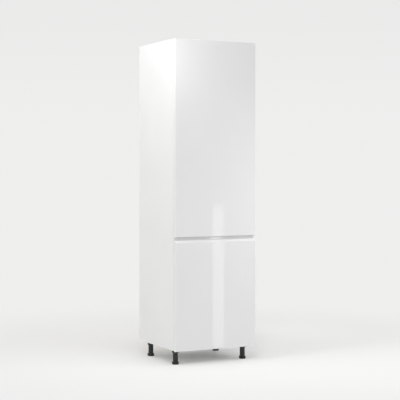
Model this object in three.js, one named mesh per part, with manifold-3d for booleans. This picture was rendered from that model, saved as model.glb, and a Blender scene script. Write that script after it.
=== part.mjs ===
// Tall kitchen cabinet with two handleless doors, on four adjustable legs. Lengths are in millimetres.
// Frame: +Z is up, the doors face -Y, +X is right seen from the front, and the origin is on the floor
// under the middle of the cabinet, doors included.

import * as THREE from 'three';
import * as BufferGeometryUtils from 'three/addons/utils/BufferGeometryUtils.js';
import Module from 'manifold-3d';

const wasm = await Module();
wasm.setup();

// Overall sizes
const WIDTH = 600;
const HEIGHT = 2120;
const LEG_HEIGHT = 100;
const CARCASS_DEPTH = 540;
const BOARD = 18;
const BOARD_EDGE_RADIUS = 0.8;

// Doors
const DOOR_THICKNESS = 18;
const DOOR_BUFFER_GAP = 2;
const DOOR_SIDE_REVEAL = 1.5;
const DOOR_DROP = 5;
const LOWER_DOOR_HEIGHT = 717;
const GRIP_GAP = 22;
const DOOR_EDGE_RADIUS = 2;

// Grip lip milled into the top of the lower door: a rounded slope in front, a finger groove behind
const LIP_HEIGHT = 19;
const LIP_SETBACK = 7;
const LIP_NOSE_RADIUS = 2;
const GROOVE_HEIGHT = 24;
const GROOVE_RADIUS = 5;

// Fixed boards inside
const GRIP_RAIL_SETBACK = 4;
const GRIP_RAIL_HEIGHT = 80;
const REAR_RAIL_HEIGHT = 100;
const BACK_THICKNESS = 3;
const BACK_RECESS = 18;
const BACK_GROOVE_DEPTH = 8;
const BACK_CLEARANCE = 0.3;

// Adjustable shelves
const SHELF_SETBACK = 20;
const SHELF_SIDE_CLEARANCE = 0.5;
const SHELF_REAR_CLEARANCE = 3;
const LOWER_SHELF_COUNT = 1;
const UPPER_SHELF_COUNT = 2;

// Shelf pins and the holes that they sit in
const HOLE_RADIUS = 2.5;
const HOLE_DEPTH = 9;
const HOLE_PITCH = 32;
const HOLE_ROW_INSET = 37;
const HOLE_ROW_PITCHES = 13;
const HOLES_PER_SHELF = 5;
const PIN_CLEARANCE = 0.3;
const PIN_COLLAR_RADIUS = 3.5;
const PIN_COLLAR_LENGTH = 1;
const PIN_PEG_LENGTH = 8;
const PIN_SEAT_GAP = 0.2;

// Concealed hinges, right-hand side
const HINGE_END_INSET = 100;
const UPPER_HINGE_COUNT = 3;
const LOWER_HINGE_COUNT = 2;
const CUP_EDGE_INSET = 22.5;
const CUP_BORE_RADIUS = 17.5;
const CUP_BORE_DEPTH = 13;
const CUP_CLEARANCE = 0.3;
const CUP_WALL = 1.5;
const CUP_FLOOR = 0.8;
const CUP_FLANGE_THICKNESS = 1.2;
const CUP_SEAT_GAP = 0.2;
const CUP_FLANGE_LENGTH = 52;
const CUP_FLANGE_EDGE_GAP = 4.5;
const CUP_FLANGE_CORNER = 4;
const CUP_PIVOT_EDGE_INSET = 11.3;
const CUP_PIVOT_DEPTH = 5.5;
const ARM_PIVOT_INSET = 13;
const ARM_PIVOT_REACH = 1;
const PIVOT_PIN_RADIUS = 1.6;
const PIVOT_CLEARANCE = 0.3;
const LINK_EYE_RADIUS = 3;
const LINK_HALF_THICKNESS = 1.4;
const LINK_CHEEK = 2;
const LINK_DIP_DEPTH = 10;
const NOSE_WIDTH = 6;
const NOSE_EYE_RADIUS = 3.4;
const ARM_WIDTH = 18;
const ARM_SHEET = 1.7;
const ARM_HEIGHT = 14.5;
const ARM_FACE_GAP = 3;
const ARM_LENGTH = 60;
const ARM_NOSE_REACH = 9;
const PLATE_WING_LENGTH = 50;
const PLATE_WING_WIDTH = 16;
const PLATE_WING_THICKNESS = 2;
const PLATE_RAIL_LENGTH = 48;
const PLATE_RAIL_HEIGHT = 8;

// Adjustable legs
const LEG_SIDE_INSET = 49;
const LEG_FRONT_INSET = 76;
const LEG_REAR_INSET = 82;
const SOCKET_RADIUS = 22.5;
const SOCKET_HEIGHT = 24;
const SOCKET_ROOF = 3;
const TUBE_RADIUS = 17;
const TUBE_WALL = 2.6;
const FOOT_RADIUS = 22.5;
const FOOT_HEIGHT = 19;
const FOOT_SHOULDER = 3;
const FOOT_CHAMFER = 1.5;
const FOOT_STEM_HEIGHT = 44;
const FOOT_NECK_HEIGHT = 4;
const LEG_CLEARANCE = 0.4;

// Fineness and cutting
const OVERRUN = 5;
const WELD = 1e-3;
const CURVE_SEGMENTS = 3;
const LIP_SEGMENTS = 6;
const HOLE_SEGMENTS = 8;
const PIN_SEGMENTS = 12;
const CUP_SEGMENTS = 24;
const LEG_SEGMENTS = 32;

// Places worked out from the sizes above
const DEPTH = DOOR_THICKNESS + DOOR_BUFFER_GAP + CARCASS_DEPTH;
const doorFrontY = -DEPTH / 2;
const doorBackY = doorFrontY + DOOR_THICKNESS;
const carcassFrontY = doorBackY + DOOR_BUFFER_GAP;
const carcassBackY = DEPTH / 2;
const innerHalfWidth = WIDTH / 2 - BOARD;
const doorHalfWidth = WIDTH / 2 - DOOR_SIDE_REVEAL;
const lowerDoorBottomZ = LEG_HEIGHT - DOOR_DROP;
const lowerDoorTopZ = lowerDoorBottomZ + LOWER_DOOR_HEIGHT;
const upperDoorBottomZ = lowerDoorTopZ + GRIP_GAP;
const floorTopZ = LEG_HEIGHT + BOARD;
const ceilingZ = HEIGHT - BOARD;
const fixedShelfTopZ = upperDoorBottomZ - DOOR_EDGE_RADIUS;
const fixedShelfBottomZ = fixedShelfTopZ - BOARD;
const backRearY = carcassBackY - BACK_RECESS;
const backFrontY = backRearY - BACK_THICKNESS;
const grooveFrontY = backFrontY - BACK_CLEARANCE;
const grooveRearY = backRearY + BACK_CLEARANCE;
const backInsertion = BACK_GROOVE_DEPTH - BACK_CLEARANCE;
const holeRowFrontY = carcassFrontY + HOLE_ROW_INSET;
const holeRowRearY = holeRowFrontY + HOLE_ROW_PITCHES * HOLE_PITCH;
const pinRadius = HOLE_RADIUS - PIN_CLEARANCE;

// Materials
const lacquer = { color: 0xf4f4f5, roughness: 0.08, metalness: 0 };
const melamine = { color: 0xf1f1f1, roughness: 0.45, metalness: 0 };
const hardboard = { color: 0xefefee, roughness: 0.55, metalness: 0 };
const blackPlastic = { color: 0x161617, roughness: 0.42, metalness: 0 };
const nickel = { color: 0xb9bbbd, roughness: 0.28, metalness: 1 };

const cabinet = new THREE.Group();
cabinet.name = 'tall_cabinet';

// Shared helpers

// Joins the vertices that lie on each other and drops the triangles that this closes up
function weld(geometry) {
  geometry.deleteAttribute('normal');
  geometry.deleteAttribute('uv');
  const merged = BufferGeometryUtils.mergeVertices(geometry, WELD);
  const index = merged.index.array;
  const kept = [];
  for (let i = 0; i < index.length; i += 3) {
    const [a, b, c] = [index[i], index[i + 1], index[i + 2]];
    if (a !== b && b !== c && c !== a) {
      kept.push(a, b, c);
    }
  }
  merged.setIndex(kept);
  return merged;
}

function toSolid(geometry) {
  const merged = weld(geometry);
  const vertProperties = Float32Array.from(merged.attributes.position.array);
  const triVerts = Uint32Array.from(merged.index.array);
  return new wasm.Manifold(new wasm.Mesh({ numProp: 3, vertProperties, triVerts }));
}

function toGeometry(solid) {
  const mesh = solid.getMesh();
  const geometry = new THREE.BufferGeometry();
  geometry.setAttribute('position', new THREE.BufferAttribute(mesh.vertProperties, 3));
  geometry.setIndex(new THREE.BufferAttribute(mesh.triVerts, 1));
  return geometry;
}

function addPiece(parent, name, geometry, finish, x = 0, y = 0, z = 0) {
  const mesh = new THREE.Mesh(weld(geometry), new THREE.MeshStandardMaterial(finish));
  mesh.name = name;
  mesh.position.set(x, y, z);
  parent.add(mesh);
}

function box(x0, x1, y0, y1, z0, z1) {
  const geometry = new THREE.BoxGeometry(x1 - x0, y1 - y0, z1 - z0);
  return geometry.translate((x0 + x1) / 2, (y0 + y1) / 2, (z0 + z1) / 2);
}

function outline(points) {
  return new THREE.Shape(points.map(([a, b]) => new THREE.Vector2(a, b)));
}

// An (x, y) outline extruded upwards
function prismAlongZ(points, z0, z1) {
  const geometry = new THREE.ExtrudeGeometry(outline(points), { depth: z1 - z0, bevelEnabled: false });
  return geometry.translate(0, 0, z0);
}

// A (y, z) outline extruded to the right
function prismAlongX(points, x0, x1) {
  const geometry = new THREE.ExtrudeGeometry(outline(points), { depth: x1 - x0, bevelEnabled: false });
  const turn = new THREE.Matrix4().makeBasis(
    new THREE.Vector3(0, 1, 0),
    new THREE.Vector3(0, 0, 1),
    new THREE.Vector3(1, 0, 0),
  );
  return geometry.applyMatrix4(turn).translate(x0, 0, 0);
}

// An (x, z) outline extruded from y0 back to y1
function prismAlongY(points, y0, y1) {
  const geometry = new THREE.ExtrudeGeometry(outline(points), { depth: y1 - y0, bevelEnabled: false });
  return geometry.rotateX(Math.PI / 2).translate(0, y1, 0);
}

// Points of an arc about (a, b), angles in degrees
function arc(a, b, radius, from, to, segments) {
  return Array.from({ length: segments + 1 }, (_, i) => {
    const angle = THREE.MathUtils.degToRad(from + ((to - from) * i) / segments);
    return [a + radius * Math.cos(angle), b + radius * Math.sin(angle)];
  });
}

function cylinderAlongX(radius, x0, x1, y, z, segments) {
  const geometry = new THREE.CylinderGeometry(radius, radius, x1 - x0, segments);
  return geometry.rotateZ(Math.PI / 2).translate((x0 + x1) / 2, y, z);
}

function cylinderAlongY(radius, y0, y1, x, z, segments) {
  const geometry = new THREE.CylinderGeometry(radius, radius, y1 - y0, segments);
  return geometry.translate(x, (y0 + y1) / 2, z);
}

function cylinderAlongZ(radius, z0, z1, x, y, segments) {
  const geometry = new THREE.CylinderGeometry(radius, radius, z1 - z0, segments);
  return geometry.rotateX(Math.PI / 2).translate(x, y, (z0 + z1) / 2);
}

// A (radius, height) profile turned about the vertical axis
function turned(profile, segments) {
  const points = profile.map(([r, h]) => new THREE.Vector2(r, h));
  return new THREE.LatheGeometry(points, segments).rotateX(Math.PI / 2);
}

// Carcass boards

// Heights of the undersides of shelves that share a compartment evenly
function shelfUndersides(low, high, count) {
  const clear = (high - low - count * BOARD) / (count + 1);
  return Array.from({ length: count }, (_, i) => low + (i + 1) * clear + i * BOARD);
}

const lowerShelves = shelfUndersides(floorTopZ, fixedShelfBottomZ, LOWER_SHELF_COUNT);
const upperShelves = shelfUndersides(fixedShelfTopZ, ceilingZ, UPPER_SHELF_COUNT);
const shelfHeights = [...lowerShelves, ...upperShelves];
const pinDrop = pinRadius + PIN_SEAT_GAP;

// The section of a side panel, with rounded front corners and a groove for the back panels.
// side is -1 for the left panel and +1 for the right one.
function sidePanelSection(side) {
  const outer = WIDTH / 2;
  const r = BOARD_EDGE_RADIUS;
  const grooveFloor = innerHalfWidth + BACK_GROOVE_DEPTH;
  const section = [
    [innerHalfWidth, carcassBackY],
    [innerHalfWidth, grooveRearY],
    [grooveFloor, grooveRearY],
    [grooveFloor, grooveFrontY],
    [innerHalfWidth, grooveFrontY],
    ...arc(innerHalfWidth + r, carcassFrontY + r, r, 180, 270, CURVE_SEGMENTS),
    ...arc(outer - r, carcassFrontY + r, r, 270, 360, CURVE_SEGMENTS),
    [outer, carcassBackY],
  ];
  return section.map(([x, y]) => [side * x, y]);
}

function sidePanel(side) {
  let panel = toSolid(prismAlongZ(sidePanelSection(side), LEG_HEIGHT, HEIGHT));
  const mouth = side * (innerHalfWidth - OVERRUN);
  const end = side * (innerHalfWidth + HOLE_DEPTH);
  for (const underside of shelfHeights) {
    for (let i = 0; i < HOLES_PER_SHELF; i += 1) {
      const z = underside - pinDrop + (i - (HOLES_PER_SHELF - 1) / 2) * HOLE_PITCH;
      for (const y of [holeRowFrontY, holeRowRearY]) {
        const [x0, x1] = [Math.min(mouth, end), Math.max(mouth, end)];
        panel = panel.subtract(toSolid(cylinderAlongX(HOLE_RADIUS, x0, x1, y, z, HOLE_SEGMENTS)));
      }
    }
  }
  return toGeometry(panel);
}

addPiece(cabinet, 'side_left', sidePanel(-1), melamine);
addPiece(cabinet, 'side_right', sidePanel(1), melamine);

// The (y, z) section of a board that lies between the sides, with a groove for the back panels in its
// upper face, its lower face or both
function levelBoardSection(frontY, bottomZ, { grooveAbove, grooveBelow }) {
  const topZ = bottomZ + BOARD;
  const r = BOARD_EDGE_RADIUS;
  const grooveDepth = BACK_GROOVE_DEPTH;
  const below = [
    [grooveFrontY, bottomZ],
    [grooveFrontY, bottomZ + grooveDepth],
    [grooveRearY, bottomZ + grooveDepth],
    [grooveRearY, bottomZ],
  ];
  const above = [
    [grooveRearY, topZ],
    [grooveRearY, topZ - grooveDepth],
    [grooveFrontY, topZ - grooveDepth],
    [grooveFrontY, topZ],
  ];
  return [
    ...arc(frontY + r, bottomZ + r, r, 180, 270, CURVE_SEGMENTS),
    ...(grooveBelow ? below : []),
    [carcassBackY, bottomZ],
    [carcassBackY, topZ],
    ...(grooveAbove ? above : []),
    ...arc(frontY + r, topZ - r, r, 90, 180, CURVE_SEGMENTS),
  ];
}

function levelBoard(name, frontY, bottomZ, grooves) {
  const section = levelBoardSection(frontY, bottomZ, grooves);
  addPiece(cabinet, name, prismAlongX(section, -innerHalfWidth, innerHalfWidth), melamine);
}

const gripRailFrontY = carcassFrontY + GRIP_RAIL_SETBACK;
const gripRailBackY = gripRailFrontY + BOARD;
levelBoard('bottom_panel', carcassFrontY, LEG_HEIGHT, { grooveAbove: true, grooveBelow: false });
levelBoard('top_panel', carcassFrontY, ceilingZ, { grooveAbove: false, grooveBelow: true });
levelBoard('fixed_shelf', gripRailBackY, fixedShelfBottomZ, { grooveAbove: true, grooveBelow: true });

// The rail behind the finger gap, in front of the fixed shelf
function gripRail() {
  const r = BOARD_EDGE_RADIUS;
  const bottomZ = fixedShelfTopZ - GRIP_RAIL_HEIGHT;
  const section = [
    ...arc(gripRailFrontY + r, bottomZ + r, r, 180, 270, CURVE_SEGMENTS),
    [gripRailBackY, bottomZ],
    [gripRailBackY, fixedShelfTopZ],
    ...arc(gripRailFrontY + r, fixedShelfTopZ - r, r, 90, 180, CURVE_SEGMENTS),
  ];
  return prismAlongX(section, -innerHalfWidth, innerHalfWidth);
}

addPiece(cabinet, 'grip_rail', gripRail(), melamine);

// Back panels, held in the grooves, and the rails behind them that the wall screws go through
function backPanel(lowZ, highZ) {
  const halfWidth = innerHalfWidth + backInsertion;
  return box(-halfWidth, halfWidth, backFrontY, backRearY, lowZ - backInsertion, highZ + backInsertion);
}

function rearRail(topZ) {
  return box(-innerHalfWidth, innerHalfWidth, backRearY, carcassBackY, topZ - REAR_RAIL_HEIGHT, topZ);
}

addPiece(cabinet, 'back_lower', backPanel(floorTopZ, fixedShelfBottomZ), hardboard);
addPiece(cabinet, 'back_upper', backPanel(fixedShelfTopZ, ceilingZ), hardboard);
addPiece(cabinet, 'rear_rail_middle', rearRail(fixedShelfBottomZ), melamine);
addPiece(cabinet, 'rear_rail_top', rearRail(ceilingZ), melamine);

// Adjustable shelves on their pins

function adjustableShelf() {
  const halfWidth = innerHalfWidth - PIN_COLLAR_LENGTH - SHELF_SIDE_CLEARANCE;
  const frontY = carcassFrontY + SHELF_SETBACK;
  const r = BOARD_EDGE_RADIUS;
  const section = [
    ...arc(frontY + r, r, r, 180, 270, CURVE_SEGMENTS),
    [backFrontY - SHELF_REAR_CLEARANCE, 0],
    [backFrontY - SHELF_REAR_CLEARANCE, BOARD],
    ...arc(frontY + r, BOARD - r, r, 90, 180, CURVE_SEGMENTS),
  ];
  return prismAlongX(section, -halfWidth, halfWidth);
}

// A pin with its collar against the side panel: axis along +X, the panel's face at x = 0
function shelfPin(side) {
  const shank = HOLE_DEPTH - PIN_CLEARANCE;
  const profile = [
    [0, shank],
    [pinRadius, shank],
    [pinRadius, 0],
    [PIN_COLLAR_RADIUS, 0],
    [PIN_COLLAR_RADIUS, -PIN_COLLAR_LENGTH],
    [pinRadius, -PIN_COLLAR_LENGTH],
    [pinRadius, -PIN_PEG_LENGTH],
    [0, -PIN_PEG_LENGTH],
  ];
  const geometry = turned(profile.reverse(), PIN_SEGMENTS);
  return geometry.rotateY((side * Math.PI) / 2);
}

// A shelf stops short of the pins' collars, which are wider than their pegs
shelfHeights.forEach((underside, i) => {
  const level = i + 1;
  addPiece(cabinet, `shelf_${level}`, adjustableShelf(), melamine, 0, 0, underside);
  for (const [sideName, side] of [['left', -1], ['right', 1]]) {
    for (const [rowName, y] of [['front', holeRowFrontY], ['rear', holeRowRearY]]) {
      const name = `shelf_pin_${level}_${sideName}_${rowName}`;
      addPiece(cabinet, name, shelfPin(side), nickel, side * innerHalfWidth, y, underside - pinDrop);
    }
  }
});

// Doors

// A slab with all its edges rounded, standing on z = 0 with its back face at y = 0
function doorSlab(height) {
  const r = DOOR_EDGE_RADIUS;
  const corners = [
    [-doorHalfWidth, 0],
    [doorHalfWidth, 0],
    [doorHalfWidth, height],
    [-doorHalfWidth, height],
  ];
  const geometry = new THREE.ExtrudeGeometry(outline(corners), {
    depth: DOOR_THICKNESS - 2 * r,
    bevelEnabled: true,
    bevelThickness: r,
    bevelSize: r,
    bevelOffset: -r,
    bevelSegments: CURVE_SEGMENTS,
  });
  return geometry.translate(0, 0, r).rotateX(Math.PI / 2);
}

function hingeHeights(doorHeight, count) {
  const spacing = (doorHeight - 2 * HINGE_END_INSET) / (count - 1);
  return Array.from({ length: count }, (_, i) => HINGE_END_INSET + i * spacing);
}

const cupX = doorHalfWidth - CUP_EDGE_INSET;

function boredForCups(door, heights) {
  let bored = door;
  for (const z of heights) {
    const bore = cylinderAlongY(CUP_BORE_RADIUS, -CUP_BORE_DEPTH, OVERRUN, cupX, z, CUP_SEGMENTS);
    bored = bored.subtract(toSolid(bore));
  }
  return bored;
}

// The (y, z) section of the lower door: a rounded slope rises from the face to a thin nose, and behind
// the nose a groove takes the fingertips
function lippedSection() {
  const frontY = -DOOR_THICKNESS;
  const topZ = LOWER_DOOR_HEIGHT;
  const noseY = LIP_SETBACK + LIP_NOSE_RADIUS;
  const noseZ = LIP_HEIGHT - LIP_NOSE_RADIUS;
  const slopeRadius =
    (noseY ** 2 + noseZ ** 2 - LIP_NOSE_RADIUS ** 2) / (2 * (noseY - LIP_NOSE_RADIUS));
  const meeting = THREE.MathUtils.radToDeg(Math.atan2(noseZ, slopeRadius - noseY));
  const slopeFootZ = topZ - LIP_HEIGHT;
  const grooveFloorZ = topZ - GROOVE_HEIGHT;
  const grooveY = frontY + noseY + LIP_NOSE_RADIUS;
  return [
    [frontY - OVERRUN, -OVERRUN],
    [OVERRUN, -OVERRUN],
    [OVERRUN, grooveFloorZ],
    ...arc(grooveY + GROOVE_RADIUS, grooveFloorZ + GROOVE_RADIUS, GROOVE_RADIUS, 270, 180, LIP_SEGMENTS),
    ...arc(frontY + noseY, topZ - LIP_NOSE_RADIUS, LIP_NOSE_RADIUS, 0, 180 - meeting, LIP_SEGMENTS),
    ...arc(frontY + slopeRadius, slopeFootZ, slopeRadius, 180 - meeting, 180, LIP_SEGMENTS).slice(1),
    [frontY - OVERRUN, slopeFootZ],
  ];
}

const upperDoorHeight = HEIGHT - upperDoorBottomZ;
const upperHingeHeights = hingeHeights(upperDoorHeight, UPPER_HINGE_COUNT);
const lowerHingeHeights = hingeHeights(LOWER_DOOR_HEIGHT, LOWER_HINGE_COUNT);

const upperSlab = toSolid(doorSlab(upperDoorHeight));
const upperDoor = toGeometry(boredForCups(upperSlab, upperHingeHeights));
addPiece(cabinet, 'door_upper', upperDoor, lacquer, 0, doorBackY, upperDoorBottomZ);

const tallSlab = toSolid(doorSlab(LOWER_DOOR_HEIGHT + OVERRUN));
const lippedPrism = prismAlongX(lippedSection(), -doorHalfWidth - OVERRUN, doorHalfWidth + OVERRUN);
const lippedSlab = tallSlab.intersect(toSolid(lippedPrism));
const lowerDoor = toGeometry(boredForCups(lippedSlab, lowerHingeHeights));
addPiece(cabinet, 'door_lower', lowerDoor, lacquer, 0, doorBackY, lowerDoorBottomZ);

// Concealed hinges: a plate and an arm on the right side panel, a cup in the door and a link between.
// A hinge's own frame has its origin at the height of the cup's centre.

const armPivot = [innerHalfWidth - ARM_PIVOT_INSET, carcassFrontY - ARM_PIVOT_REACH];
const cupPivot = [doorHalfWidth - CUP_PIVOT_EDGE_INSET, doorBackY - CUP_PIVOT_DEPTH];
const cupRadius = CUP_BORE_RADIUS - CUP_CLEARANCE;
const cupInnerRadius = cupRadius - CUP_WALL;
const cupBottomY = doorBackY - CUP_BORE_DEPTH + CUP_CLEARANCE;
const cheekInner = NOSE_WIDTH / 2 + PIVOT_CLEARANCE;
const cheekOuter = cheekInner + LINK_CHEEK;
const pivotBoreRadius = PIVOT_PIN_RADIUS + PIVOT_CLEARANCE;

function hingeCup() {
  const seatY = doorBackY + CUP_SEAT_GAP;
  const mouthY = seatY + CUP_FLANGE_THICKNESS;
  const flangeRight = doorHalfWidth - CUP_FLANGE_EDGE_GAP;
  const flangeLeft = cupX - cupRadius;
  const c = CUP_FLANGE_CORNER;
  const half = CUP_FLANGE_LENGTH / 2;
  const flange = [
    ...arc(flangeRight - c, -half + c, c, 270, 360, CURVE_SEGMENTS),
    ...arc(flangeRight - c, half - c, c, 0, 90, CURVE_SEGMENTS),
    ...arc(flangeLeft + c, half - c, c, 90, 180, CURVE_SEGMENTS),
    ...arc(flangeLeft + c, -half + c, c, 180, 270, CURVE_SEGMENTS),
  ];
  const body = toSolid(cylinderAlongY(cupRadius, cupBottomY, mouthY, cupX, 0, CUP_SEGMENTS));
  const hollow = cylinderAlongY(
    cupInnerRadius, cupBottomY + CUP_FLOOR, mouthY + OVERRUN, cupX, 0, CUP_SEGMENTS,
  );
  const pinFarSide = cupPivot[0] - cupX + PIVOT_PIN_RADIUS;
  const wallReach = Math.sqrt((cupRadius - CUP_CLEARANCE) ** 2 - pinFarSide ** 2);
  const pin = cylinderAlongZ(PIVOT_PIN_RADIUS, -wallReach, wallReach, ...cupPivot, PIN_SEGMENTS);
  const cup = body
    .add(toSolid(prismAlongY(flange, seatY, mouthY)))
    .subtract(toSolid(hollow))
    .add(toSolid(pin));
  return toGeometry(cup);
}

// The outline of a bar of even thickness along a path, with round eyes at its two ends
function linkOutline(path, eyeRadius, halfThickness) {
  const left = [];
  const right = [];
  for (let i = 1; i < path.length - 1; i += 1) {
    const along = new THREE.Vector2(path[i + 1][0] - path[i - 1][0], path[i + 1][1] - path[i - 1][1]);
    along.normalize().multiplyScalar(halfThickness);
    left.push([path[i][0] - along.y, path[i][1] + along.x]);
    right.push([path[i][0] + along.y, path[i][1] - along.x]);
  }
  const eye = (centre, next) => {
    const heading = THREE.MathUtils.radToDeg(Math.atan2(next[1] - centre[1], next[0] - centre[0]));
    return arc(...centre, eyeRadius, heading + 60, heading + 300, PIN_SEGMENTS);
  };
  const first = eye(path[0], path[1]);
  const last = eye(path[path.length - 1], path[path.length - 2]);
  return [...first, ...right, ...last, ...left.reverse()];
}

// The link dips into the cup beside its pivot, so that it clears the cup's rim when the door is open
function hingeLink() {
  const dipY = doorBackY - LINK_DIP_DEPTH;
  const [ax, ay] = armPivot;
  const [bx] = cupPivot;
  const span = bx - ax;
  const pathShares = [0.12, 0.42, 0.84];
  const path = [
    armPivot,
    [ax + pathShares[0] * span, (ay + dipY) / 2],
    [ax + pathShares[1] * span, dipY],
    [ax + pathShares[2] * span, dipY],
    cupPivot,
  ];
  const cheek = linkOutline(path, LINK_EYE_RADIUS, LINK_HALF_THICKNESS);
  const upper = toSolid(prismAlongZ(cheek, cheekInner, cheekOuter));
  const lower = toSolid(prismAlongZ(cheek, -cheekOuter, -cheekInner));
  const pin = cylinderAlongZ(PIVOT_PIN_RADIUS, -cheekOuter, cheekOuter, ...armPivot, PIN_SEGMENTS);
  const bore = cylinderAlongZ(
    pivotBoreRadius, -cheekOuter - OVERRUN, cheekOuter + OVERRUN, ...cupPivot, PIN_SEGMENTS,
  );
  return toGeometry(upper.add(lower).add(toSolid(pin)).subtract(toSolid(bore)));
}

// The arm is a channel over the plate's rail, with a narrow nose that carries the link
const armBackX = innerHalfWidth - ARM_FACE_GAP;
const armFaceX = armBackX - ARM_HEIGHT;
const armFrontY = armPivot[1] + ARM_NOSE_REACH;
const armRearY = armFrontY + ARM_LENGTH;
const plateRailX = innerHalfWidth - PLATE_RAIL_HEIGHT;

function hingeArm() {
  const half = ARM_WIDTH / 2;
  const inner = half - ARM_SHEET;
  const channel = [
    [armFaceX, -half],
    [armBackX, -half],
    [armBackX, -inner],
    [armFaceX + ARM_SHEET, -inner],
    [armFaceX + ARM_SHEET, inner],
    [armBackX, inner],
    [armBackX, half],
    [armFaceX, half],
  ];
  const [px, py] = armPivot;
  const block = box(armFaceX, plateRailX, armFrontY, armFrontY + LINK_EYE_RADIUS, -half, half);
  const nose = [
    ...arc(px, py, NOSE_EYE_RADIUS, 180, 360, PIN_SEGMENTS),
    [px + NOSE_EYE_RADIUS, armFrontY + ARM_SHEET],
    [px - NOSE_EYE_RADIUS, armFrontY + ARM_SHEET],
  ];
  const bore = cylinderAlongZ(
    pivotBoreRadius, -NOSE_WIDTH, NOSE_WIDTH, px, py, PIN_SEGMENTS,
  );
  const arm = toSolid(prismAlongY(channel, armFrontY, armRearY))
    .add(toSolid(block))
    .add(toSolid(prismAlongZ(nose, -NOSE_WIDTH / 2, NOSE_WIDTH / 2)))
    .subtract(toSolid(bore));
  return toGeometry(arm);
}

function hingePlate() {
  const wingX = innerHalfWidth - PLATE_WING_THICKNESS;
  const halfWing = PLATE_WING_LENGTH / 2;
  const halfWidth = PLATE_WING_WIDTH / 2;
  const railHalf = ARM_WIDTH / 2 - ARM_SHEET - PIVOT_CLEARANCE;
  const railFrontY = armFrontY + LINK_EYE_RADIUS + PIVOT_CLEARANCE;
  const wing = box(
    wingX, innerHalfWidth, holeRowFrontY - halfWidth, holeRowFrontY + halfWidth, -halfWing, halfWing,
  );
  const railX = armFaceX + ARM_SHEET + PIVOT_CLEARANCE;
  const rail = box(
    railX, innerHalfWidth, railFrontY, railFrontY + PLATE_RAIL_LENGTH, -railHalf, railHalf,
  );
  return toGeometry(toSolid(wing).add(toSolid(rail)));
}

function addHinges(doorName, bottomZ, heights) {
  heights.forEach((height, i) => {
    const hinge = new THREE.Group();
    hinge.name = `hinge_${doorName}_${i + 1}`;
    hinge.position.z = bottomZ + height;
    cabinet.add(hinge);
    addPiece(hinge, `hinge_plate_${doorName}_${i + 1}`, hingePlate(), nickel);
    addPiece(hinge, `hinge_arm_${doorName}_${i + 1}`, hingeArm(), nickel);
    addPiece(hinge, `hinge_link_${doorName}_${i + 1}`, hingeLink(), nickel);
    addPiece(hinge, `hinge_cup_${doorName}_${i + 1}`, hingeCup(), nickel);
  });
}

addHinges('upper', upperDoorBottomZ, upperHingeHeights);
addHinges('lower', lowerDoorBottomZ, lowerHingeHeights);

// Adjustable legs: a socket under the bottom panel, a tube in it, and a foot that screws into the tube.
// A leg's own frame has its origin on the floor under its middle.

const tubeBottomZ = FOOT_HEIGHT + FOOT_NECK_HEIGHT;
const tubeTopZ = LEG_HEIGHT - SOCKET_ROOF - LEG_CLEARANCE;
const tubeInnerRadius = TUBE_RADIUS - TUBE_WALL;
const stemRadius = tubeInnerRadius - LEG_CLEARANCE;

function legSocket() {
  const bore = TUBE_RADIUS + LEG_CLEARANCE;
  const bottomZ = LEG_HEIGHT - SOCKET_HEIGHT;
  const roofZ = LEG_HEIGHT - SOCKET_ROOF;
  return turned([
    [0, roofZ],
    [bore, roofZ],
    [bore, bottomZ],
    [SOCKET_RADIUS - FOOT_CHAMFER, bottomZ],
    [SOCKET_RADIUS, bottomZ + FOOT_CHAMFER],
    [SOCKET_RADIUS, LEG_HEIGHT],
    [0, LEG_HEIGHT],
  ], LEG_SEGMENTS);
}

function legTube() {
  return turned([
    [tubeInnerRadius, tubeBottomZ],
    [TUBE_RADIUS, tubeBottomZ],
    [TUBE_RADIUS, tubeTopZ],
    [tubeInnerRadius, tubeTopZ],
    [tubeInnerRadius, tubeBottomZ],
  ], LEG_SEGMENTS);
}

function legFoot() {
  return turned([
    [0, 0],
    [FOOT_RADIUS - FOOT_CHAMFER, 0],
    [FOOT_RADIUS, FOOT_CHAMFER],
    [FOOT_RADIUS, FOOT_HEIGHT - FOOT_SHOULDER],
    [FOOT_RADIUS - FOOT_SHOULDER, FOOT_HEIGHT],
    [stemRadius, FOOT_HEIGHT],
    [stemRadius, FOOT_HEIGHT + FOOT_STEM_HEIGHT],
    [0, FOOT_HEIGHT + FOOT_STEM_HEIGHT],
  ], LEG_SEGMENTS);
}

const legX = WIDTH / 2 - LEG_SIDE_INSET;
const legPlaces = {
  front_left: [-legX, carcassFrontY + LEG_FRONT_INSET],
  front_right: [legX, carcassFrontY + LEG_FRONT_INSET],
  rear_left: [-legX, carcassBackY - LEG_REAR_INSET],
  rear_right: [legX, carcassBackY - LEG_REAR_INSET],
};

for (const [place, [x, y]] of Object.entries(legPlaces)) {
  const leg = new THREE.Group();
  leg.name = `leg_${place}`;
  leg.position.set(x, y, 0);
  cabinet.add(leg);
  addPiece(leg, `leg_socket_${place}`, legSocket(), blackPlastic);
  addPiece(leg, `leg_tube_${place}`, legTube(), blackPlastic);
  addPiece(leg, `leg_foot_${place}`, legFoot(), blackPlastic);
}

export default cabinet;
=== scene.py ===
import math

import bmesh
import bpy
from mathutils import Matrix, Vector


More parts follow.
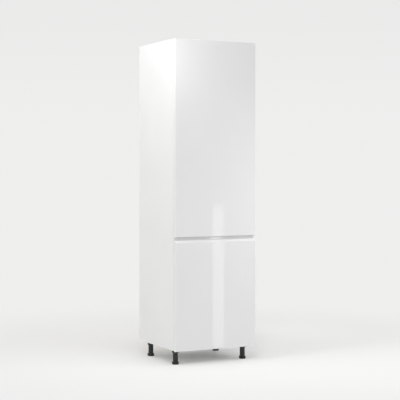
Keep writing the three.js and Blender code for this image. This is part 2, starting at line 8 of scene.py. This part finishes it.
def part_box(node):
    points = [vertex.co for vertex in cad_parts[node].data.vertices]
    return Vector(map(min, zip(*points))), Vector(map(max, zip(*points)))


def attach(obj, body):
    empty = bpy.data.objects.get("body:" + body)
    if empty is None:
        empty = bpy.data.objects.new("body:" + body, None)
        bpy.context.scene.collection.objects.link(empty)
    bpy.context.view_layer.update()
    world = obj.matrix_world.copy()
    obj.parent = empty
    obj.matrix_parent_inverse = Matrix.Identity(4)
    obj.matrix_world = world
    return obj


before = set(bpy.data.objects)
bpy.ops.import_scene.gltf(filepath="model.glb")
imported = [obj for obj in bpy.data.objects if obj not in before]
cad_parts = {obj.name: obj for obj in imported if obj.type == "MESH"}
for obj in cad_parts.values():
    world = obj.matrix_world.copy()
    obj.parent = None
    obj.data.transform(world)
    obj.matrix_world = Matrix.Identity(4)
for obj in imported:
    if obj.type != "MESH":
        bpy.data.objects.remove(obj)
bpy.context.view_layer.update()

scene = bpy.context.scene
scene.view_settings.view_transform = "Standard"

MM = 0.001

# Camera, solved from the cabinet's corners in the photograph
IMAGE_SIZE = 400
FOCAL_PX = 1126.8
HORIZON_ROW = 170.92
SENSOR_MM = 36.0
CAMERA_PLACE = (-3.4863, -6.8086, 1.2642)
CAMERA_YAW_DEG = 27.282
CAMERA_REACH = 200

# Tones of the surroundings, as linear values
BACKDROP = (0.860, 0.860, 0.855)
BACKDROP_HIGH = (0.825, 0.825, 0.822)
FLOOR_LOW = (0.87, 0.87, 0.866)
FLOOR_HIGH = (0.885, 0.885, 0.88)

# The room, by the height of a direction, where 1 is straight up
ROOM_LIGHT = 1.31
ROOM_LIGHT_STARTS = (0.12, 0.24)
ROOM_LIGHT_ENDS = (0.74, 0.86)
BACKDROP_FADE = (0.03, 0.16)

# The floor's disc, and the distance over which it fades into the backdrop
FLOOR_RADIUS = 60
FLOOR_SIDES = 96
HAZE_FADE = (0.6, 3.2)

# The range in which most of a noise's values lie
NOISE_RANGE = (0.3, 0.7)

# Surfaces
# The turn from the front over which a door's edges fade into the painted highlight tone
EDGE_HIGHLIGHT_TURN_DEG = 70
FACE_TOLERANCE = 0.02 * MM
EDGE_BAND = 0.8 * MM
EDGE_SEAM = 0.2 * MM
LACQUER_IOR = 1.5
RAIL_IOR = 2.0
BOARD_IOR = 1.5
HARDBOARD_IOR = 1.45
PLASTIC_IOR = 1.5
RUBBER_IOR = 1.45

# Fittings: profiles as shares of the radius and the height
ROUND_SEGMENTS = 28
CAM_SEGMENTS = 36
SCREW_PROFILE = ((0, 0), (1, 0), (1, 0.35), (0.93, 0.7), (0.72, 0.93), (0.4, 1), (0, 1))
CAM_PROFILE = ((1, 0.6), (0.96, 1), (0.84, 1), (0.80, 0.2), (0.66, 0.2), (0.62, 1), (0, 1))
CAM_SUNK = 1 * MM
CAM_SLOT_DEPTH = 1.2 * MM
CUT_MARGIN = 0.1 * MM
SMALLEST_EDGE = 0.002 * MM
PAD_STEPS = 6
PAD_RIM = 0.25
SHARP_ANGLE_DEG = 32

# Places of the hinge screws: back from the front, in from a side, up and down from the middle
HINGES = {"upper": 3, "lower": 2}
PLATE_SCREW_BACK = 37 * MM
PLATE_SCREW_INSET = 2 * MM
PLATE_SCREW_RISE = 16 * MM
CUP_SCREW_INSET = 11 * MM
CUP_SCREW_RISE = 22 * MM
ARM_SCREW_BACKS = (22 * MM, 46 * MM)

# Places of the cam fittings, in from the board's edges
CAM_SIDE_INSET = 34 * MM
CAM_FRONT_INSET = 34 * MM
CAM_REAR_INSETS = {"top_panel": 80 * MM, "fixed_shelf": 80 * MM, "bottom_panel": 40 * MM}

# Places of the buffer pads: in from the door's free edge, up from its bottom, down from its top
PAD_SIDE_INSET = 8 * MM
PAD_END_INSETS = {"upper": (20 * MM, 20 * MM), "lower": (25 * MM, 50 * MM)}

# Lamps: name, place, point it faces, size, power in watts, beam angle in degrees
LAMPS = (
    ("over_left", (-2.2, -4.0, 4.6), (0, -0.28, 0.6), (0.9, 0.9), 34.5, 180),
    ("side_top", (-1.4, -0.4, 3.0), (-0.3, -0.1, 1.9), (0.7, 0.7), 14.6, 180),
    ("corner_high", (-0.42, -0.6, 2.2), (-0.25, -0.28, 2.0), (0.2, 0.2), 0.18, 180),
    ("corner_low", (-0.42, -0.55, 1.95), (-0.3, -0.28, 1.93), (0.2, 0.2), 0.26, 180),
    ("right_near", (0.9, -1.1, 1.15), (0.3, -0.28, 1.05), (0.4, 0.8), 0.56, 90),
    ("over_front", (0, -1.3, 1.4), (0, -0.4, 0), (0.9, 0.12), 0.08, 60),
    ("floor_right", (1.5, -1.5, 1.8), (1.4, -1.3, 0), (0.8, 0.8), 7.0, 180),
    ("floor_behind", (1.3, 0.6, 1.4), (1.2, 0.9, 0), (0.4, 0.4), 0.32, 70),
)
STRIP_LAMP = ("strip", (0.339, -0.88, 0.503), (0.339, 0, 0.503), (0.089, 1.016), 0.48, 180)


class Nodes:
    """A small helper that makes shader nodes and links them by socket name."""

    def __init__(self, tree):
        self.tree = tree
        tree.nodes.clear()

    def add(self, kind, inputs=None, **values):
        """Adds a node. An input is a plain value, or the socket that is linked to it."""
        node = self.tree.nodes.new(kind)
        for key, value in values.items():
            setattr(node, key, value)
        for key, value in (inputs or {}).items():
            if isinstance(value, bpy.types.NodeSocket):
                self.tree.links.new(value, node.inputs[key])
            else:
                node.inputs[key].default_value = value
        return node

    def math(self, operation, a, b=0.0):
        return self.add("ShaderNodeMath", {0: a, 1: b}, operation=operation).outputs[0]

    def spread(self, value, low, high, to_low=0.0, to_high=1.0, smooth=False):
        """Maps value from low..high to to_low..to_high, held at the ends."""
        node = self.add(
            "ShaderNodeMapRange",
            {0: value, 1: low, 2: high, 3: to_low, 4: to_high},
            interpolation_type="SMOOTHSTEP" if smooth else "LINEAR",
        )
        return node.outputs[0]

    def sway(self, noise, low=0.0, high=1.0):
        """Maps the usual range of a noise to low..high."""
        return self.spread(noise, *NOISE_RANGE, low, high)

    def mix(self, share, a, b):
        """Mixes two colours."""
        return self.add("ShaderNodeMix", {0: share, 6: a, 7: b}, data_type="RGBA").outputs[2]

    def noise(self, place, scale, detail=3.0, roughness=0.55, stretch=None):
        if stretch:
            place = self.add("ShaderNodeMapping", {0: place, 3: stretch}).outputs[0]
        node = self.add(
            "ShaderNodeTexNoise",
            {"Vector": place, "Scale": scale, "Detail": detail, "Roughness": roughness},
        )
        return node.outputs[0]

    def axis(self, vector, name):
        """One coordinate of a vector."""
        return self.add("ShaderNodeSeparateXYZ", {0: vector}).outputs[name]

    def place(self):
        """The point on the surface, in the object's own coordinates."""
        return self.add("ShaderNodeTexCoord").outputs["Object"]

    def seen(self, first, *others):
        """1 for a ray of any of the given kinds, otherwise 0."""
        path = self.add("ShaderNodeLightPath")
        share = path.outputs[first]
        for kind in others:
            share = self.math("MAXIMUM", share, path.outputs[kind])
        return share

    def bump(self, height, strength, depth):
        inputs = {"Strength": strength, "Distance": depth, "Height": height}
        return self.add("ShaderNodeBump", inputs).outputs[0]

    def finish(self, inputs):
        """Ends the material in a principled shader."""
        shader = self.add("ShaderNodeBsdfPrincipled", inputs)
        self.add("ShaderNodeOutputMaterial", {"Surface": shader.outputs[0]})


def rgba(tone):
    return (*tone, 1.0)


def grey(value):
    return (value, value, value)


def new_material(name):
    material = bpy.data.materials.new(name)
    material.use_nodes = True
    return material, Nodes(material.node_tree)


# Camera
camera_data = bpy.data.cameras.new("camera")
camera_data.sensor_fit = "HORIZONTAL"
camera_data.sensor_width = SENSOR_MM
camera_data.lens = FOCAL_PX / IMAGE_SIZE * SENSOR_MM
camera_data.shift_y = (HORIZON_ROW - IMAGE_SIZE / 2) / IMAGE_SIZE
camera_data.clip_end = CAMERA_REACH
camera = bpy.data.objects.new("camera", camera_data)
camera.location = CAMERA_PLACE
camera.rotation_euler = (math.radians(90), 0, math.radians(-CAMERA_YAW_DEG))
scene.collection.objects.link(camera)
scene.camera = camera

# World: an even pale room. The camera and the glossy surfaces see the backdrop's tone.
world = bpy.data.worlds.new("room")
scene.world = world
world.use_nodes = True
n = Nodes(world.node_tree)
seen = n.seen("Is Camera Ray", "Is Glossy Ray", "Is Transmission Ray")
height = n.axis(n.add("ShaderNodeTexCoord").outputs["Generated"], "Z")
rise = n.spread(height, *ROOM_LIGHT_STARTS, 0.0, ROOM_LIGHT, smooth=True)
fall = n.spread(height, *ROOM_LIGHT_ENDS, 1.0, 0.0, smooth=True)
room = n.math("MULTIPLY", rise, fall)
light = n.add("ShaderNodeBackground", {"Color": rgba(grey(1)), "Strength": room})
high_up = n.spread(height, *BACKDROP_FADE, smooth=True)
wall = n.mix(high_up, rgba(BACKDROP), rgba(BACKDROP_HIGH))
shown = n.add("ShaderNodeBackground", {"Color": wall, "Strength": 1.0})
both = n.add("ShaderNodeMixShader", {0: seen, 1: light.outputs[0], 2: shown.outputs[0]})
n.add("ShaderNodeOutputWorld", {"Surface": both.outputs[0]})


def area_light(name, place, target, size, power, beam, mirrored=False):
    """A soft rectangle of light. A mirrored one shows only as a reflection in the gloss."""
    data = bpy.data.lights.new(name, "AREA")
    data.shape = "RECTANGLE"
    data.size, data.size_y = size
    data.energy = power
    data.spread = math.radians(beam)
    lamp = bpy.data.objects.new(name, data)
    lamp.location = place
    direction = Vector(target) - Vector(place)
    lamp.rotation_euler = direction.to_track_quat("-Z", "Y").to_euler()
    lamp.visible_camera = False
    lamp.visible_glossy = mirrored
    lamp.visible_diffuse = not mirrored
    scene.collection.objects.link(lamp)


for lamp_values in LAMPS:
    area_light(*lamp_values)
area_light(*STRIP_LAMP, mirrored=True)

# Floor: a disc that fades into the backdrop's tone far out
bpy.ops.mesh.primitive_circle_add(vertices=FLOOR_SIDES, radius=FLOOR_RADIUS, fill_type="NGON")
floor = bpy.context.object
floor.name = "floor"
material, n = new_material("floor_paint")
place = n.place()
far = n.add("ShaderNodeVectorMath", {0: place}, operation="LENGTH").outputs["Value"]
cloud = n.noise(place, scale=0.5, detail=2.0)
paint = n.mix(n.sway(cloud), rgba(FLOOR_LOW), rgba(FLOOR_HIGH))
ground = n.add("ShaderNodeBsdfDiffuse", {"Color": paint, "Roughness": 0.3})
haze = n.add("ShaderNodeEmission", {"Color": rgba(BACKDROP), "Strength": 1.0})
seen = n.seen("Is Camera Ray", "Is Glossy Ray")
share = n.math("MULTIPLY", n.spread(far, *HAZE_FADE, smooth=True), seen)
mixed = n.add("ShaderNodeMixShader", {0: share, 1: ground.outputs[0], 2: haze.outputs[0]})
n.add("ShaderNodeOutputMaterial", {"Surface": mixed.outputs[0]})
floor.data.materials.append(material)


# Materials
def lacquer(name, low, high, edge, side, rear_y, ior):
    """High-gloss lacquer in front: soft orange peel, faint tone clouds and hairline wipe marks.
    The edge and side tones are painted highlights: the surfaces that face up or down and left or
    right get a lighter tone than the face, as if they caught more light.
    The rear face has the matt foil of a cabinet door, and takes the same lighter tone."""
    material, n = new_material(name)
    place = n.place()
    normal = n.add("ShaderNodeTexCoord").outputs["Normal"]
    turn = n.math("ARCCOSINE", n.math("ABSOLUTE", n.axis(normal, "Y")))
    # Painted highlight: the further a face turns from the front, the more of the lighter edge
    # tone it takes
    edge_highlight_share = n.spread(turn, 0.0, math.radians(EDGE_HIGHLIGHT_TURN_DEG))
    sideways = n.math("ABSOLUTE", n.axis(normal, "X"))
    rear = n.math("GREATER_THAN", n.axis(place, "Y"), rear_y - FACE_TOLERANCE)
    cloud = n.noise(place, scale=2.2)
    peel = n.noise(place, scale=420.0, detail=2.0)
    wipe = n.noise(place, scale=26.0, detail=4.0, roughness=0.6, stretch=(1.0, 1.0, 14.0))
    face = n.mix(n.sway(cloud), rgba(low), rgba(high))
    # Painted highlight tones for the edges that face up or down and left or right; the rear face
    # takes them too
    highlight_and_rear_tone = n.mix(sideways, rgba(edge), rgba(side))
    colour = n.mix(n.math("MAXIMUM", edge_highlight_share, rear), face, highlight_and_rear_tone)
    polish = n.sway(cloud, 0.012, 0.022)
    wiped = n.spread(wipe, 0.55, 0.8, 0.0, 0.014)
    foil = n.math("MULTIPLY", rear, n.sway(cloud, 0.34, 0.42))
    rough = n.math("ADD", foil, n.math("ADD", polish, wiped))
    bump = n.bump(peel, strength=0.08, depth=0.04 * MM)
    n.finish({"Base Color": colour, "Roughness": rough, "IOR": ior, "Normal": bump})
    return material


def melamine(name, front_y):
    """Foil-faced board: fine pebble grain, soft tone clouds and a seam at its front edge band."""
    material, n = new_material(name)
    place = n.place()
    cloud = n.noise(place, scale=3.0)
    pebble = n.noise(place, scale=520.0, detail=2.0, roughness=0.4)
    face = n.mix(n.sway(cloud), rgba((0.788, 0.788, 0.786)), rgba((0.812, 0.812, 0.810)))
    off_seam = n.math("SUBTRACT", n.axis(place, "Y"), front_y + EDGE_BAND)
    seam = n.math("LESS_THAN", n.math("ABSOLUTE", off_seam), EDGE_SEAM / 2)
    colour = n.mix(seam, face, rgba((0.60, 0.60, 0.59)))
    rough = n.sway(cloud, 0.30, 0.38)
    bump = n.bump(pebble, strength=0.15, depth=0.05 * MM)
    n.finish({"Base Color": colour, "Roughness": rough, "IOR": BOARD_IOR, "Normal": bump})
    return material


def hardboard(middle_y):
    """Thin back panel: painted white inside, bare pressed fibre outside."""
    material, n = new_material("back_board")
    place = n.place()
    fibre = n.noise(place, scale=240.0, detail=4.0, roughness=0.7, stretch=(1.0, 1.0, 0.35))
    fleck = n.noise(place, scale=70.0, detail=5.0, roughness=0.75)
    cloud = n.noise(place, scale=5.0)
    bare = n.mix(fibre, rgba((0.47, 0.355, 0.235)), rgba((0.60, 0.475, 0.335)))
    patches = n.spread(cloud, 0.35, 0.65, 0.0, 0.4)
    bare = n.mix(patches, bare, rgba((0.55, 0.43, 0.295)))
    flecks = n.spread(fleck, 0.58, 0.72, 0.0, 0.5)
    bare = n.mix(flecks, bare, rgba((0.36, 0.26, 0.165)))
    paint = n.mix(cloud, rgba((0.84, 0.84, 0.835)), rgba((0.865, 0.865, 0.86)))
    rear = n.math("GREATER_THAN", n.axis(place, "Y"), middle_y)
    colour = n.mix(rear, paint, bare)
    rough = n.spread(rear, 0.0, 1.0, 0.5, 0.75)
    bump = n.bump(fibre, strength=0.4, depth=0.1 * MM)
    n.finish({"Base Color": colour, "Roughness": rough, "IOR": HARDBOARD_IOR, "Normal": bump})
    return material


def metal(name, low, high, rough_low, rough_high):
    """Plated pressed steel or cast zinc: fine drawn lines and small handling marks."""
    material, n = new_material(name)
    place = n.place()
    lines = n.noise(place, scale=700.0, roughness=0.6, stretch=(1.0, 0.12, 1.0))
    marks = n.noise(place, scale=90.0, detail=4.0, roughness=0.7)
    colour = n.mix(n.spread(marks, 0.35, 0.7), rgba(low), rgba(high))
    worn = n.spread(marks, 0.6, 0.8, 0.0, 0.12)
    rough = n.math("ADD", n.sway(lines, rough_low, rough_high), worn)
    bump = n.bump(lines, strength=0.3, depth=0.03 * MM)
    n.finish({"Base Color": colour, "Metallic": 1.0, "Roughness": rough, "Normal": bump})
    return material


def black_plastic():
    """Moulded black plastic: fine spark grain, rubbed lighter and duller in places."""
    material, n = new_material("black_plastic")
    place = n.place()
    grain = n.noise(place, scale=900.0, detail=2.0)
    wear = n.noise(place, scale=60.0, detail=4.0, roughness=0.65)
    rubbed = n.spread(wear, 0.45, 0.75)
    colour = n.mix(rubbed, rgba((0.011, 0.011, 0.012)), rgba((0.020, 0.020, 0.021)))
    dull = n.spread(wear, 0.5, 0.8, 0.0, 0.10)
    rough = n.math("ADD", n.sway(grain, 0.36, 0.48), dull)
    bump = n.bump(grain, strength=0.35, depth=0.06 * MM)
    n.finish({"Base Color": colour, "Roughness": rough, "IOR": PLASTIC_IOR, "Normal": bump})
    return material


def clear_rubber():
    """Soft milky buffer pads."""
    material, n = new_material("clear_rubber")
    haze = n.noise(n.place(), scale=300.0)
    colour = n.mix(haze, rgba((0.70, 0.72, 0.72)), rgba((0.79, 0.80, 0.80)))
    rough = n.sway(haze, 0.30, 0.42)
    n.finish(
        {
            "Base Color": colour,
            "Roughness": rough,
            "IOR": RUBBER_IOR,
            "Transmission Weight": 0.35,
        }
    )
    return material


back_low, back_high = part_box("back_upper")
gloss = lacquer(
    "gloss_lacquer",
    # The face tones are the doors' white, set below the boards' white partly as painted shade
    # that keeps the fronts darker than the side
    low=(0.715, 0.715, 0.718),
    high=(0.732, 0.732, 0.734),
    # Painted highlights: the edges are given a lighter tone than the face
    edge=grey(0.875),
    side=grey(0.835),
    rear_y=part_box("door_upper")[1][1],
    ior=LACQUER_IOR,
)
# Grip rail: the doors' white lacquer, painted far lighter as painted light in the recess behind
# the grip, which would otherwise lie in shade
rail = lacquer(
    "rail_painted_light_lacquer",
    low=grey(0.90),
    high=grey(0.92),
    edge=grey(0.93),
    side=grey(0.93),
    rear_y=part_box("grip_rail")[1][1],
    ior=RAIL_IOR,
)
back = hardboard((back_low[1] + back_high[1]) / 2)
nickel = metal("nickel_steel", (0.62, 0.63, 0.64), (0.70, 0.705, 0.71), 0.29, 0.36)
zinc = metal("cast_zinc", (0.50, 0.505, 0.51), (0.58, 0.585, 0.59), 0.34, 0.46)
plastic = black_plastic()
rubber = clear_rubber()

# Boards share a material where their front edges, and so the seams of their bands, line up
boards = {}


def look_for(name):
    if name.startswith("door_"):
        return gloss
    # The grip rail takes the lacquer with painted light in it
    if name == "grip_rail":
        return rail
    if name.startswith(("hinge_", "shelf_pin_")):
        return nickel
    if name.startswith("leg_"):
        return plastic
    if name.startswith("back_"):
        return back
    front_y = round(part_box(name)[0][1], 5)
    if front_y not in boards:
        boards[front_y] = melamine(f"melamine_{len(boards) + 1}", front_y)
    return boards[front_y]


for name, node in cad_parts.items():
    look = look_for(name)
    if not node.material_slots:
        node.data.materials.append(look)
    for entry in node.material_slots:
        entry.material = look


# Shapes of the small fittings
def turned(profile, segments=ROUND_SEGMENTS):
    """A closed form made by turning points of (radius, height) about the Z axis."""
    form = bmesh.new()
    turns = [2 * math.pi * i / segments for i in range(segments)]
    rings = []
    for radius, height in profile:
        around = turns if radius else turns[:1]
        points = [(radius * math.cos(t), radius * math.sin(t), height) for t in around]
        rings.append([form.verts.new(point) for point in points])
    for lower, upper in zip(rings, rings[1:]):
        for i in range(segments):
            j = (i + 1) % segments
            if len(lower) == 1:
                form.faces.new((lower[0], upper[i], upper[j]))
            elif len(upper) == 1:
                form.faces.new((lower[i], upper[0], lower[j]))
            else:
                form.faces.new((lower[i], upper[i], upper[j], lower[j]))
    bmesh.ops.recalc_face_normals(form, faces=form.faces)
    return form


def block(size, place):
    form = bmesh.new()
    matrix = Matrix.Translation(place) @ Matrix.Diagonal((*size, 1))
    bmesh.ops.create_cube(form, size=1.0, matrix=matrix)
    return form


def as_mesh(form, name):
    """Turns a form into mesh data, and frees the form."""
    data = bpy.data.meshes.new(name)
    form.to_mesh(data)
    form.free()
    return data


def as_object(form, name):
    made = bpy.data.objects.new(name, as_mesh(form, name))
    scene.collection.objects.link(made)
    return made


def cut_out(body, cutters):
    """Subtracts each cutter from the body and returns the result as mesh data."""
    kept = as_object(body, "cut_body")
    tools = [as_object(cutter, "cutter") for cutter in cutters]
    for tool in tools:
        modifier = kept.modifiers.new("cut", "BOOLEAN")
        modifier.operation = "DIFFERENCE"
        modifier.solver = "EXACT"
        modifier.object = tool
    seen = kept.evaluated_get(bpy.context.evaluated_depsgraph_get())
    result = bpy.data.meshes.new_from_object(seen)
    for made in [kept, *tools]:
        bpy.data.objects.remove(made)
    clean = bmesh.new()
    clean.from_mesh(result)
    bmesh.ops.dissolve_degenerate(clean, edges=clean.edges, dist=SMALLEST_EDGE)
    clean.to_mesh(result)
    clean.free()
    return result


def screw_head(radius, height, recess):
    """A pan head with a cross recess."""
    head = turned([(radius * r, height * h) for r, h in SCREW_PROFILE])
    reach = radius * 1.25
    width = radius * 0.26
    deep = recess + 2 * CUT_MARGIN
    middle = (0, 0, height - recess / 2 + CUT_MARGIN)
    cross = [block((reach, width, deep), middle), block((width, reach, deep), middle)]
    return cut_out(head, cross)


def cam_disc(radius, height):
    """The face of a cast cam: a rim, a sunk ring and a cross slot with one long arm."""
    face = [(radius * r, height * h) for r, h in CAM_PROFILE]
    disc = turned([(0, -CAM_SUNK), (radius, -CAM_SUNK), *face], CAM_SEGMENTS)
    width = radius * 0.17
    deep = CAM_SLOT_DEPTH
    middle = (0, 0, height - deep / 2 + CUT_MARGIN)
    slots = [
        block((radius, width, deep), middle),
        block((width, radius, deep), middle),
        block((radius * 0.5, width * 0.6, deep), (radius * 0.75, 0, height)),
    ]
    return cut_out(disc, slots)


def buffer_pad(radius, height):
    """A low soft dome on a straight rim."""
    angles = [math.radians(90 * i / PAD_STEPS) for i in range(PAD_STEPS)]
    dome = [
        (radius * math.cos(t), height * (PAD_RIM + (1 - PAD_RIM) * math.sin(t))) for t in angles
    ]
    return as_mesh(turned([(0, 0), (radius, 0), *dome, (0, height)]), "pad")


def set_of(name, shape, places, look, body, spin=0.0):
    """Copies a shape to each (place, outward direction) as one object that moves with a body.
    Each copy is turned by spin radians more than the one before it."""
    joined = bmesh.new()
    for index, (place, outward) in enumerate(places):
        turn = Vector(outward).to_track_quat("Z", "Y").to_matrix().to_4x4()
        twist = Matrix.Rotation(spin * (index + 1), 4, "Z")
        part = shape.copy()
        part.transform(Matrix.Translation(place) @ turn @ twist)
        joined.from_mesh(part)
        bpy.data.meshes.remove(part)
    piece = as_object(joined, name)
    for face in piece.data.polygons:
        face.use_smooth = True
    piece.data.set_sharp_from_angle(angle=math.radians(SHARP_ANGLE_DEG))
    piece.data.materials.append(look)
    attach(piece, body)


# Hinge screws, on every plate, arm and cup
plate_screw = screw_head(radius=3.4 * MM, height=1.3 * MM, recess=0.7 * MM)
arm_screw = screw_head(radius=3.0 * MM, height=1.0 * MM, recess=0.6 * MM)
cup_screw = screw_head(radius=3.0 * MM, height=0.9 * MM, recess=0.5 * MM)
carcass_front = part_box("side_left")[0][1]
plate_places = []
arm_places = []
for door, count in HINGES.items():
    cup_places = []
    for index in range(1, count + 1):
        arm_low, arm_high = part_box(f"hinge_arm_{door}_{index}")
        cup_low, cup_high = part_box(f"hinge_cup_{door}_{index}")
        plate_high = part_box(f"hinge_plate_{door}_{index}")[1]
        middle_z = (arm_low[2] + arm_high[2]) / 2
        plate_x = plate_high[0] - PLATE_SCREW_INSET
        cup_x = cup_low[0] + CUP_SCREW_INSET
        for side in (-1, 1):
            height = middle_z + side * PLATE_SCREW_RISE
            plate_places.append(((plate_x, carcass_front + PLATE_SCREW_BACK, height), (-1, 0, 0)))
            height = middle_z + side * CUP_SCREW_RISE
            cup_places.append(((cup_x, cup_high[1], height), (0, 1, 0)))
        for back_from_front in ARM_SCREW_BACKS:
            arm_places.append(((arm_low[0], arm_high[1] - back_from_front, middle_z), (-1, 0, 0)))
    set_of(
        f"cup_screws_{door}",
        cup_screw,
        cup_places,
        nickel,
        f"{door}_door",
        spin=0.7,
    )
set_of("plate_screws", plate_screw, plate_places, nickel, "carcass", spin=0.9)
set_of("arm_screws", arm_screw, arm_places, nickel, "carcass", spin=1.1)

# Cam fittings under the top panel, the fixed shelf and the bottom panel
cam_places = []
for name, rear_inset in CAM_REAR_INSETS.items():
    low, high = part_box(name)
    for x in (low[0] + CAM_SIDE_INSET, high[0] - CAM_SIDE_INSET):
        for y in (low[1] + CAM_FRONT_INSET, high[1] - rear_inset):
            cam_places.append(((x, y, low[2]), (0, 0, -1)))
cam = cam_disc(radius=7.5 * MM, height=0.4 * MM)
set_of("cam_fittings", cam, cam_places, zinc, "carcass", spin=0.6)

# Buffer pads on the doors' free edge
pad = buffer_pad(radius=4.0 * MM, height=1.5 * MM)
for door, (from_bottom, from_top) in PAD_END_INSETS.items():
    low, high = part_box(f"door_{door}")
    x = low[0] + PAD_SIDE_INSET
    places = [((x, high[1], z), (0, 1, 0)) for z in (low[2] + from_bottom, high[2] - from_top)]
    set_of(f"buffer_pads_{door}", pad, places, rubber, f"{door}_door")
